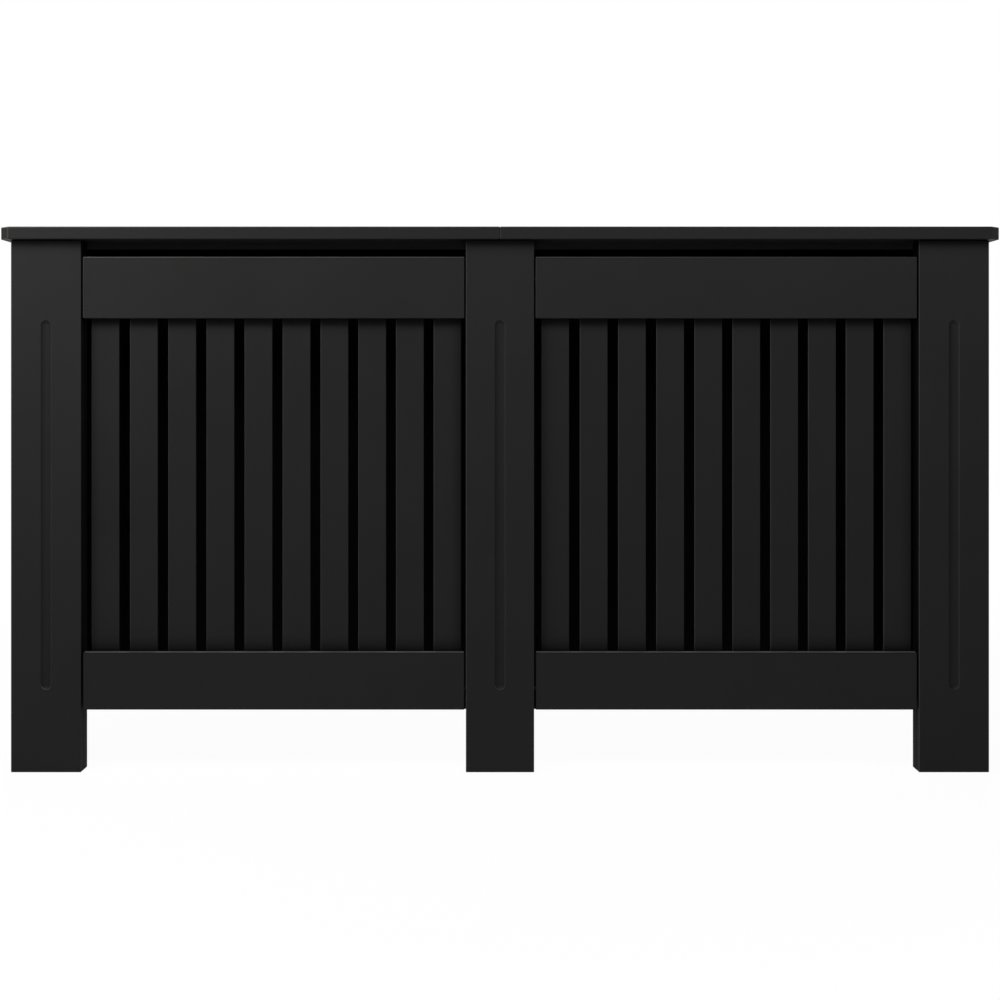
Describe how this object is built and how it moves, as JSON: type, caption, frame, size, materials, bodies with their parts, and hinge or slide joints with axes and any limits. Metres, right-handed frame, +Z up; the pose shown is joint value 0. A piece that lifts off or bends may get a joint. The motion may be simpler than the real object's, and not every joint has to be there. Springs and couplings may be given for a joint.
{
  "type": "radiator cover",
  "caption": "Free-standing radiator cover with slatted grille bays between grooved legs, side panels, a flat shelf top, and an open back and underside.",
  "frame": {"origin": "on the floor, at the middle of the footprint of the whole cover", "axes": "+Z up, +X to the right as seen from the front, +Y towards the wall, so the slatted front faces -Y"},
  "size_m": [1.52, 0.19, 0.83],
  "materials": {
    "painted_board": "satin black paint on fibreboard",
    "painted_slat": "satin black paint on fibreboard slats",
    "zinc_steel": "bright zinc plate on bent steel strip"
  },
  "bodies": {
    "root": {"top_panel_left": "painted_board", "top_panel_right": "painted_board", "seam_cleat": "painted_board", "leg_left": "painted_board", "leg_middle": "painted_board", "leg_right": "painted_board", "batten_left": "painted_board", "batten_middle_left": "painted_board", "batten_middle_right": "painted_board", "batten_right": "painted_board", "side_panel_left": "painted_board", "side_panel_right": "painted_board", "top_rail_left": "painted_board", "top_rail_right": "painted_board", "bottom_rail_left": "painted_board", "bottom_rail_right": "painted_board", "slat_left_1": "painted_slat", "slat_left_2": "painted_slat", "slat_left_3": "painted_slat", "slat_left_4": "painted_slat", "slat_left_5": "painted_slat", "slat_left_6": "painted_slat", "slat_left_7": "painted_slat", "slat_left_8": "painted_slat", "slat_left_9": "painted_slat", "slat_left_10": "painted_slat", "slat_right_1": "painted_slat", "slat_right_2": "painted_slat", "slat_right_3": "painted_slat", "slat_right_4": "painted_slat", "slat_right_5": "painted_slat", "slat_right_6": "painted_slat", "slat_right_7": "painted_slat", "slat_right_8": "painted_slat", "slat_right_9": "painted_slat", "slat_right_10": "painted_slat", "rail_bracket_left_bottom_left": "zinc_steel", "rail_bracket_left_bottom_right": "zinc_steel", "rail_bracket_left_top_left": "zinc_steel", "rail_bracket_left_top_right": "zinc_steel", "rail_bracket_right_bottom_left": "zinc_steel", "rail_bracket_right_bottom_right": "zinc_steel", "rail_bracket_right_top_left": "zinc_steel", "rail_bracket_right_top_right": "zinc_steel", "corner_bracket_left_lower": "zinc_steel", "corner_bracket_left_upper": "zinc_steel", "corner_bracket_right_lower": "zinc_steel", "corner_bracket_right_upper": "zinc_steel", "top_bracket_left_front": "zinc_steel", "top_bracket_left_rear": "zinc_steel", "top_bracket_right_front": "zinc_steel", "top_bracket_right_rear": "zinc_steel", "seam_bracket_left": "zinc_steel", "seam_bracket_right": "zinc_steel", "wall_bracket_left": "zinc_steel", "wall_bracket_right": "zinc_steel"}
  },
  "joints": []
}
